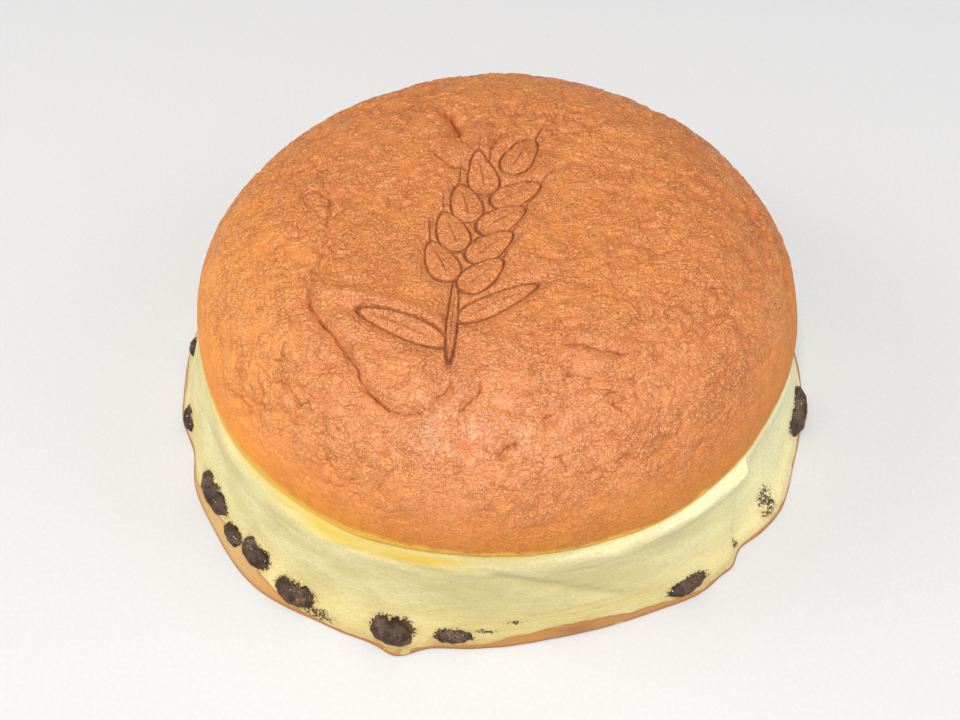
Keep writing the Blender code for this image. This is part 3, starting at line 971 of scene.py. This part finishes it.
        # The sheen mark lays a painted sheen on the front of the crown, and also sets the real coat there
        sheen = bump(azimuth, *self.SHEEN_SIDE) * smooth(34 * MM, 60 * MM, run)
        sheen = sheen * smooth(3 * MM, 16 * MM, whole - run)
        shades = {"baked": baked, "amber": amber, "crown": crown, "grainy": grainy, "sheen": sheen}
        return {**marks, **shades}


class CHEESECAKE_OT_side(bpy.types.Operator):
    """Make the pale side with its fold, crease and the ragged pockets round the raisins"""

    bl_idname = "cheesecake.side"
    bl_label = "Side"

    STEPS = 1200
    ROWS = 66
    ROW_POWER = 1.35  # rows lie closer together at the foot
    COVER_FROM = 0.92  # crumb covers the raisins above this share of their half height
    COVER = 0.2 * MM  # thickness of that crumb
    LOWEST = 0.5 * MM
    TUCK_ROWS = 3
    WAIST = 0.5 * MM  # how far the side draws in below its roll
    ROLL = 1.0 * MM  # how far the roll under the lip stands out more than in the CAD model
    CREASE_FOOT = 315  # azimuth of the upright crease at its foot, in degrees
    CREASE_LEAN = 7  # how far round its upper end stands, in degrees
    FOLD_START = 268  # azimuth where the slanting fold is highest
    FOLD_HEIGHT = 25  # its height there, in mm
    FOLD_DROP = 0.62  # how far it comes down in mm for each degree
    LOW_LINES = (6.4, 7.8)  # heights of two fine lines above the foot, in mm
    # Places: azimuth and half width in degrees
    LOW_LINES_SIDE = (284, 9)
    BURIED_RAISIN = (325.4, 4)  # lies deeper than the rest
    BARE_RAISIN = (268, 5)  # its upper side carries no crumb
    # where the roll under the lip carries a painted highlight
    ROLL_HIGHLIGHT_SIDE = (305, 22)
    # the front, which carries painted shade below the overhanging crust
    SHADED_FRONT_SIDE = (276, 44)
    # the right, painted lighter as if lit from there
    LIT_RIGHT_SIDE = (352, 46)

    def execute(self, context):
        scene = context.scene
        cake, look = scene.cheesecake_shape, scene.cheesecake_side
        shares = np.linspace(0, 1, self.ROWS) ** self.ROW_POWER
        heights = self.LOWEST + (cake.lip_height - self.LOWEST) * shares
        outline = [(cake.wall_radius, height) for height in heights]
        for row in range(1, self.TUCK_ROWS):
            outline.append((cake.wall_radius - row * MM, cake.lip_height + row * 0.6 * MM))
        shape = turned(outline, self.STEPS)
        points = places(shape)
        azimuth = azimuths(points)
        height = points[:, 2]
        tucked = cake.wall_radius - off_axis(points)
        radius = side_radius(cake, azimuth, np.minimum(height, cake.lip_height)) - tucked - INSET
        surface = around(radius, azimuth, height)
        relief, hollow = self.relief(surface, azimuth, height)
        near, upward, skin = near_raisins(surface)
        ragged = waves(surface, 2.4 * MM, 21) + 0.6 * waves(surface, 1.0 * MM, 22)
        rim = bell(near - 0.95, 0.22)
        radius = radius + relief + 0.4 * MM * rim * ragged - 0.9 * MM * smooth(0.95, 0.5, near)
        buried = bump(azimuth, *self.BURIED_RAISIN)
        covered = smooth(-0.1, 0.1, upward - self.COVER_FROM + 1.5 * buried + 0.2 * ragged)
        covered = covered * smooth(1.2, 1.0, near)
        radius = radius + covered * np.clip(skin + self.COVER - radius, 0, None)
        move_to(shape, around(radius, azimuth, height))
        torn = smooth(1.35, 0.95, near) + 0.6 * smooth(1.0, 0.85, near)
        torn = torn * (1 - 0.55 * buried) * smooth(-0.6, 0.1, upward)
        torn = torn * (1 - 0.9 * bump(azimuth, *self.BARE_RAISIN) * smooth(0.0, 0.4, upward))
        stain = 0.5 * smooth(1.6, 0.9, near) * np.clip(0.5 + ragged, 0, 1)
        stain = stain + 0.3 * smooth(3.5 * MM, 1.0 * MM, height)
        share = height / cake.lip_height
        # Painted highlight along the top of the roll under the lip
        roll_highlight = 0.6 * bump(azimuth, *self.ROLL_HIGHLIGHT_SIDE) * bell(share - 0.93, 0.09)
        # Painted light: the right of the side whiter and cooler, as if lit from there, with the roll's
        # highlight
        cool = roll_highlight + 0.75 * bump(azimuth, *self.LIT_RIGHT_SIDE)
        yolk = self.yolk(surface, azimuth, share)
        amounts = {"yolk": yolk, "stain": stain, "hollow": hollow, "cool": cool}
        attributes = {title: np.clip(values, 0, 1) for title, values in amounts.items()}
        attributes["torn"] = np.maximum(torn, self.torn_places(azimuth, height))
        # Painted shade on the front of the side, below the overhanging crust
        attributes["porous"] = bump(azimuth, *self.SHADED_FRONT_SIDE) * smooth(24 * MM, 18 * MM, height)
        finish_piece("side", shape, side_material(look), (), attributes)
        return {"FINISHED"}

    def yolk(self, surface, azimuth, share):
        """How egg-yellow the side is, in bands under the lip and faintly at the foot."""
        total = 0.15 * smooth(0.45, 0.15, share)
        total += 0.35 * bell(share - 0.97, 0.045) * np.clip(0.5 + waves(surface, 14 * MM, 23), 0, 1)
        for centre, half_width, level, reach, strength in YOLK_BANDS:
            total += strength * bump(azimuth, centre, half_width) * bell(share - level, reach)
        return total

    def relief(self, surface, azimuth, height):
        """Soft unevenness, the upright crease, the slanting fold and fine lines above the foot, and the
        painted shade in their hollows.
        """
        relief = 0.45 * MM * waves(surface, 15 * MM, 24) + 0.12 * MM * waves(surface, 4 * MM, 25)
        rolls = sides(azimuth, PROUD_SIDES)
        relief -= self.WAIST * (1 + rolls) * bell(height - 16 * MM, 7 * MM)
        uneven = 1 + 0.6 * waves(surface, 9 * MM, 28)
        relief += self.ROLL * rolls * uneven * bell(height - 24.6 * MM, 2.3 * MM)
        lines = surface * np.array([1, 1, 5])
        relief += 0.07 * MM * waves(lines, 5 * MM, 26)
        relief += 0.28 * MM * waves(lines, 9 * MM, 29) * smooth(17 * MM, 21 * MM, height)
        crease_azimuth = self.CREASE_FOOT + self.CREASE_LEAN * (height - 3.5 * MM) / (22.5 * MM)
        crease_on = smooth(1 * MM, 4 * MM, height) * smooth(27 * MM, 24 * MM, height)
        apart = azimuth % 360 - crease_azimuth
        groove = bell(apart - 0.3, 0.7) * crease_on
        lifted = smooth(-10, -1, apart) * smooth(1.1, -1.3, apart) * crease_on
        sunk = smooth(-0.4, 0.8, apart) * smooth(13, 4, apart) * crease_on
        relief -= MM * (0.6 * groove - 0.8 * lifted + 0.9 * sunk)
        fold_height = (self.FOLD_HEIGHT - self.FOLD_DROP * (azimuth % 360 - self.FOLD_START)) * MM
        fold_on = smooth(266, 272, azimuth % 360) * smooth(300, 288, azimuth % 360)
        above = height - fold_height
        step = 0.5 * smooth(-2 * MM, 1.5 * MM, above) - 0.35 * bell(above + 2 * MM, 2 * MM)
        relief += fold_on * MM * step
        low_lines = sum(bell(height - level * MM, 0.35 * MM) for level in self.LOW_LINES)
        low_lines = low_lines * bump(azimuth, *self.LOW_LINES_SIDE)
        # Painted shade in the crease, under the slanting fold and in the fine lines
        hollow = 0.7 * groove + 0.35 * fold_on * bell(above + 1.5 * MM, 1.6 * MM) + 0.3 * low_lines
        return relief - 0.2 * MM * low_lines, hollow

    def torn_places(self, azimuth, height):
        """Where a raisin lies just under the surface and shows as torn specks."""
        total = np.zeros(len(height))
        for centre, level, half_width, half_height in TORN_PLACES:
            place = bump(azimuth, centre, half_width) * bell(height - level * MM, half_height * MM)
            total = np.maximum(total, place)
        return total


class CHEESECAKE_OT_foot_skin(bpy.types.Operator):
    """Make the thin brown skin that wraps the foot and covers the flat underside"""

    bl_idname = "cheesecake.foot_skin"
    bl_label = "Foot skin"

    STEPS = 720
    UNDER_ROWS = 22
    RISE_ROWS = 16
    PROUD = 0.22 * MM  # the skin lies this far outside the side
    LUMP_PLACE = (283, 2.6)  # azimuth and half width in degrees
    LUMP = 0.9 * MM  # how far the lump stands out

    def execute(self, context):
        scene = context.scene
        cake, look = scene.cheesecake_shape, scene.cheesecake_side
        outline = [(cake.foot_radius * row / self.UNDER_ROWS, 0.0) for row in range(self.UNDER_ROWS + 1)]
        outline += [(cake.foot_radius, row * MM) for row in range(1, self.RISE_ROWS + 1)]
        shape = turned(outline, self.STEPS)
        points = places(shape)
        azimuth = azimuths(points)
        row = points[:, 2] / MM
        away = off_axis(points) / cake.foot_radius
        top = 0.5 * MM + swelling(azimuth, SKIN_TOP_SWELLS)
        rim = around(90 * MM, azimuth, 0 * azimuth)
        top = top + 0.35 * MM * waves(rim, 7 * MM, 31) + 0.3 * MM * waves(rim, 2.2 * MM, 32)
        climb = np.clip(row / (self.RISE_ROWS - 2), 0, 1)
        height = 0.25 * MM + (top - 0.25 * MM) * climb
        height = np.where(row > 0, height, 0.0)
        radius = side_radius(cake, azimuth, height) - INSET + self.PROUD
        radius = np.where(row > self.RISE_ROWS - 1.5, radius - 0.9 * MM, radius)
        edge_in = side_radius(cake, azimuth, 0 * height) - 0.55 * MM
        radius = np.where(row > 0, radius, away * edge_in)
        surface = around(radius, azimuth, height)
        uneven = waves(surface, 6 * MM, 33)
        near = near_raisins(surface)[0]
        radius = radius + (row > 0) * (0.15 * MM * uneven - 0.8 * MM * smooth(1.0, 0.6, near))
        lump = bump(azimuth, *self.LUMP_PLACE) * bell(height - 3 * MM, 1.8 * MM)
        radius = radius + self.LUMP * lump
        raised = (row == 0) * (away < 0.97) * np.clip(waves(surface, 12 * MM, 34), 0, 1)
        height = height + 0.12 * MM * raised
        move_to(shape, around(radius, azimuth, height))
        edge = smooth(1.3 * MM, 0.2 * MM, height) * (away > 0.98) * 0.75
        edge = np.maximum(edge, 0.5 * smooth(0.86, 1.0, climb))
        attributes = {
            "edge": edge, "under": (row == 0) * smooth(1.0, 0.96, away), "hollow": lump,
            "thin": sides(azimuth, SKIRT_SIDES),
        }
        finish_piece("foot_skin", shape, skin_material(look), (), attributes)
        return {"FINISHED"}


class CHEESECAKE_OT_raisins(bpy.types.Operator):
    """Make each raisin again with a finely wrinkled skin, in the place of its CAD solid"""

    bl_idname = "cheesecake.raisins"
    bl_label = "Raisins"

    CUTS = 3
    WRINKLE = 0.13  # depth of the wrinkles, as a share of the raisin's size
    MOST = 0.02  # the skin bulges out no further than this share

    def execute(self, context):
        material = raisin_material(context.scene.cheesecake_raisin)
        for number, node in enumerate(RAISIN_NODES):
            shape = bmesh.new()
            shape.from_mesh(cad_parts[node].data)
            bmesh.ops.remove_doubles(shape, verts=shape.verts, dist=1e-6)
            bmesh.ops.subdivide_edges(
                shape, edges=shape.edges, cuts=self.CUTS, use_grid_fill=True, smooth=1.0
            )
            points = places(shape)
            centre = (points.min(0) + points.max(0)) / 2
            size = np.ptp(points, 0).mean()
            unit = (points - centre) / size
            folds = np.abs(waves(unit + number, 0.34, 41)) + 0.5 * np.abs(waves(unit + number, 0.16, 42))
            bulge = np.minimum(self.WRINKLE * (folds - 0.45), self.MOST)
            points = centre + (points - centre) * (0.985 + bulge)[:, None]
            move_to(shape, points)
            dusty = np.clip(0.5 + waves(unit + number, 0.5, 43), 0, 1)
            attributes = {"ridge": smooth(0.2, 0.7, folds), "dusty": dusty}
            finish_piece(f"wrinkled_{node}", shape, material, (node,), attributes)
        return {"FINISHED"}


class CHEESECAKE_OT_crumbs(bpy.types.Operator):
    """Scatter small crumbs of the side round each raisin, as one joined mesh"""

    bl_idname = "cheesecake.crumbs"
    bl_label = "Crumbs"

    EACH = 3  # crumbs on each raisin
    SMALLEST = 0.12 * MM
    LARGEST = 0.27 * MM

    def execute(self, context):
        chance = random.Random(5)
        shape = bmesh.new()
        for centre, out, round_way, (depth, half_length, half_height) in raisin_balls():
            for _ in range(self.EACH):
                aside = chance.uniform(-0.85, 0.85)
                upward = chance.uniform(0.65, 0.95) * math.sqrt(1 - aside**2)
                reach = depth * math.sqrt(max(0.0, 1 - aside**2 - upward**2))
                size = chance.uniform(self.SMALLEST, self.LARGEST)
                spot = centre + out * reach + round_way * aside * half_length
                spot = Vector(spot) + Vector((0, 0, upward * half_height))
                place = Matrix.Translation(spot) @ Matrix.Diagonal((size, size * 0.8, size * 0.7, 1))
                made = bmesh.ops.create_icosphere(shape, subdivisions=1, radius=1.0, matrix=place)
                for corner in made["verts"]:
                    corner.co += Vector([chance.uniform(-0.25, 0.25) * size for _ in range(3)])
        finish_piece("crumbs", shape, crumb_material(context.scene.cheesecake_side))
        return {"FINISHED"}


class CHEESECAKE_OT_stage(bpy.types.Operator):
    """Set the pale table, the soft light and the camera"""

    bl_idname = "cheesecake.stage"
    bl_label = "Table, light and camera"

    TABLE_SIZE = 5.0
    SENSOR_WIDTH = 36  # of the camera, in mm
    SKY = (0.985, 0.99, 1.0)
    BRIGHT_SKY = Vector((-0.04, -0.22, 0.97))  # the way to the brightest part of the sky
    DIM_SHARE = 0.25  # brightness of the sky's dimmest part, as a share of the brightest
    # Place of the camera, and its own right, up and back
    EYE = Vector((0.0, -0.3012, 0.3581))
    RIGHT = Vector((0.99941, -0.02222, -0.02618))
    UP = Vector((0.03393, 0.75664, 0.65295))
    BACK = Vector((0.00529, -0.65345, 0.75695))
    # Lights: name, which is also that of their power, then size, place and colour
    LIGHTS = (
        ("key", 0.35, (-0.03, -0.58, 1.06), (1.0, 0.98, 0.95)),
        ("fill", 0.6, (-0.85, 0.05, 0.60), (1.0, 0.98, 0.95)),
        ("side_fill", 0.6, (0.85, -0.15, 0.60), (0.98, 0.99, 1.0)),
    )

    def execute(self, context):
        scene = context.scene
        look = scene.cheesecake_stage
        self.table(look)
        self.camera(scene, look)
        self.sky(scene, look)
        for name, size, place, shade in self.LIGHTS:
            self.light(scene, name, getattr(look, name), size, Vector(place), shade)
        scene.view_settings.view_transform = "Standard"
        return {"FINISHED"}

    def table(self, look):
        shape = bmesh.new()
        bmesh.ops.create_grid(shape, x_segments=2, y_segments=2, size=self.TABLE_SIZE / 2)
        mesh = bpy.data.meshes.new("table")
        shape.to_mesh(mesh)
        shape.free()
        mesh.materials.append(table_material(look))
        table = bpy.data.objects.new("table", mesh)
        bpy.context.scene.collection.objects.link(table)

    def camera(self, scene, look):
        camera = bpy.data.objects.new("camera", bpy.data.cameras.new("camera"))
        camera.data.lens = look.lens
        camera.data.sensor_width = self.SENSOR_WIDTH
        turn = Matrix((self.RIGHT, self.UP, self.BACK)).transposed().to_4x4()
        camera.matrix_world = Matrix.Translation(self.EYE) @ turn
        scene.collection.objects.link(camera)
        scene.camera = camera

    def sky(self, scene, look):
        world = bpy.data.worlds.new("sky")
        world.use_nodes = True
        nodes, links = world.node_tree.nodes, world.node_tree.links
        where = nodes.new("ShaderNodeTexCoord")
        towards = nodes.new("ShaderNodeVectorMath")
        towards.operation = "DOT_PRODUCT"
        towards.inputs[1].default_value = self.BRIGHT_SKY
        ramp = nodes.new("ShaderNodeMapRange")
        ramp.inputs["To Min"].default_value = look.sky * self.DIM_SHARE
        ramp.inputs["To Max"].default_value = look.sky
        background = nodes["Background"]
        background.inputs["Color"].default_value = (*self.SKY, 1)
        links.new(where.outputs["Generated"], towards.inputs[0])
        links.new(towards.outputs["Value"], ramp.inputs["Value"])
        links.new(ramp.outputs["Result"], background.inputs["Strength"])
        scene.world = world

    def light(self, scene, name, power, size, place, shade):
        """An area light that shines at the cake."""
        light = bpy.data.lights.new(name, "AREA")
        light.energy = power
        light.size = size
        light.color = shade
        lamp = bpy.data.objects.new(name, light)
        turn = (-place).to_track_quat("-Z", "Y").to_matrix().to_4x4()
        lamp.matrix_world = Matrix.Translation(place) @ turn
        scene.collection.objects.link(lamp)


OPERATORS = (
    CHEESECAKE_OT_crust,
    CHEESECAKE_OT_side,
    CHEESECAKE_OT_foot_skin,
    CHEESECAKE_OT_raisins,
    CHEESECAKE_OT_crumbs,
    CHEESECAKE_OT_stage,
)
GROUPS = {
    "cheesecake_shape": CheesecakeShape,
    "cheesecake_crust": CheesecakeCrust,
    "cheesecake_side": CheesecakeSide,
    "cheesecake_raisin": CheesecakeRaisin,
    "cheesecake_stage": CheesecakeStage,
}


class CHEESECAKE_PT_panel(bpy.types.Panel):
    """Buttons for each piece, and the sizes and colours they use"""

    bl_idname = "CHEESECAKE_PT_panel"
    bl_label = "Jiggly cheesecake"
    bl_space_type = "VIEW_3D"
    bl_region_type = "UI"
    bl_category = "Cheesecake"

    def draw(self, context):
        for operator in OPERATORS:
            self.layout.operator(operator.bl_idname)
        for title, group in GROUPS.items():
            box = self.layout.box()
            for name in group.__annotations__:
                box.prop(getattr(context.scene, title), name)


def register():
    for group in GROUPS.values():
        bpy.utils.register_class(group)
    for title, group in GROUPS.items():
        setattr(bpy.types.Scene, title, PointerProperty(type=group))
    for operator in OPERATORS:
        bpy.utils.register_class(operator)
    bpy.utils.register_class(CHEESECAKE_PT_panel)


def unregister():
    bpy.utils.unregister_class(CHEESECAKE_PT_panel)
    for operator in reversed(OPERATORS):
        bpy.utils.unregister_class(operator)
    for title, group in GROUPS.items():
        delattr(bpy.types.Scene, title)
        bpy.utils.unregister_class(group)


def main():
    register()
    bpy.ops.cheesecake.crust()
    bpy.ops.cheesecake.side()
    bpy.ops.cheesecake.foot_skin()
    bpy.ops.cheesecake.raisins()
    bpy.ops.cheesecake.crumbs()
    bpy.ops.cheesecake.stage()


if __name__ == "__main__":
    main()
